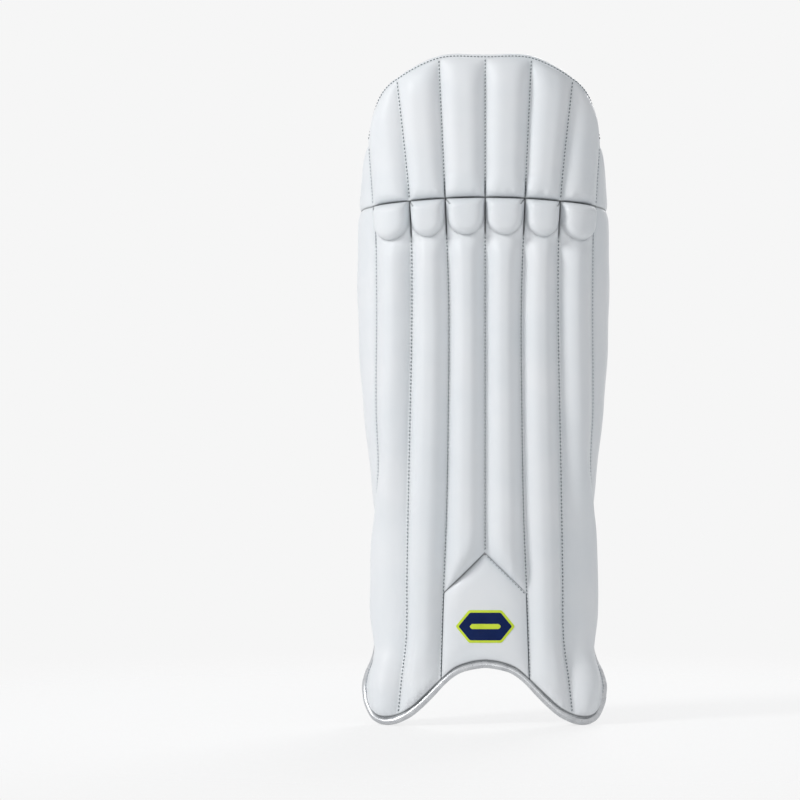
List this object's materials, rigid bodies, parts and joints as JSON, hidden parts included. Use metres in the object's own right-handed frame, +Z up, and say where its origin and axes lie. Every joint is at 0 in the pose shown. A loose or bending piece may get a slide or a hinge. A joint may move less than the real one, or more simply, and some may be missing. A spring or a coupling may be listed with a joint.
{
  "type": "cricket leg pad",
  "caption": "Cricket wicket-keeper's leg pad: quilted ribbed front, knee roll, wrap-round side wings, instep lobes, padded mesh back and webbing straps through ring buckles.",
  "frame": {"origin": "on the axis of the leg that the pad is strapped to, at the level of the pad's lowest edge", "axes": "+Z up the leg, front of the pad faces -Y, ring buckles on the +X wing"},
  "size_m": [0.2516, 0.1498, 0.6604],
  "materials": {
    "cover": "soft matt PU leather, cool white",
    "padding": "foam and cotton-wadded cane",
    "lining": "pale grey satin lining",
    "mesh": "open diamond mesh over a dark ground",
    "navy_satin": "dark navy satin",
    "lime_satin": "lime satin",
    "grey_binding": "grey PU-coated binding tape",
    "silver_piping": "silver coated piping",
    "webbing": "ribbed webbing, navy with lime and grey stripes",
    "ring_plastic": "glossy white nylon",
    "hook_and_loop": "hook-and-loop tape"
  },
  "bodies": {
    "root": {"top_cover": "cover", "shin_cover_left": "cover", "shin_cover_center": "cover", "shin_cover_right": "cover", "instep_panel": "cover", "wing_cover_left": "cover", "wing_cover_right": "cover", "top_fill_1": "padding", "top_fill_2": "padding", "top_fill_3": "padding", "top_fill_4": "padding", "top_fill_5": "padding", "top_fill_6": "padding", "knuckle_fill_1": "padding", "knuckle_fill_2": "padding", "knuckle_fill_3": "padding", "knuckle_fill_4": "padding", "knuckle_fill_5": "padding", "knuckle_fill_6": "padding", "cane_1": "padding", "cane_2": "padding", "cane_3": "padding", "cane_4": "padding", "cane_5": "padding", "cane_6": "padding", "instep_fill": "padding", "shin_backing": "padding", "instep_backing": "padding", "wing_foam_left": "padding", "wing_foam_right": "padding", "back_lining": "lining", "instep_lining": "lining", "wing_lining_left": "lining", "wing_lining_right": "lining", "bolster_core": "padding", "bolster_cover": "lining", "mesh_strip_left": "mesh", "mesh_strip_right": "mesh", "center_band": "navy_satin", "band_tip": "lime_satin", "side_roll_left": "lining", "side_roll_right": "lining", "top_binding": "cover", "instep_binding": "grey_binding", "instep_piping": "silver_piping", "upper_strap": "webbing", "upper_tab": "webbing", "upper_loop_patch": "hook_and_loop", "lower_strap": "webbing", "lower_tab": "webbing", "lower_loop_patch": "hook_and_loop"},
    "upper_ring": {"upper_ring": "ring_plastic"},
    "lower_ring": {"lower_ring": "ring_plastic"},
    "upper_tail": {"upper_tail": "webbing", "upper_hook_patch": "hook_and_loop"},
    "lower_tail": {"lower_tail": "webbing", "lower_hook_patch": "hook_and_loop"}
  },
  "joints": [
    {"name": "upper_ring_pivot", "type": "hinge", "parent": "root", "child": "upper_ring", "pos_m": [0.11172, 0.03551, 0.418], "axis": [0, 0, 1], "range_deg": [-4, 4]},
    {"name": "lower_ring_pivot", "type": "hinge", "parent": "root", "child": "lower_ring", "pos_m": [0.08701, 0.0262, 0.1495], "axis": [0, 0, 1], "range_deg": [-4, 4]},
    {"name": "upper_tail_peel", "type": "hinge", "parent": "root", "child": "upper_tail", "pos_m": [0.07916, 0.04705, 0.418], "axis": [0, 0, -1], "range_deg": [0, 150]},
    {"name": "lower_tail_peel", "type": "hinge", "parent": "root", "child": "lower_tail", "pos_m": [0.0538, 0.03579, 0.1495], "axis": [0, 0, -1], "range_deg": [0, 150]}
  ]
}
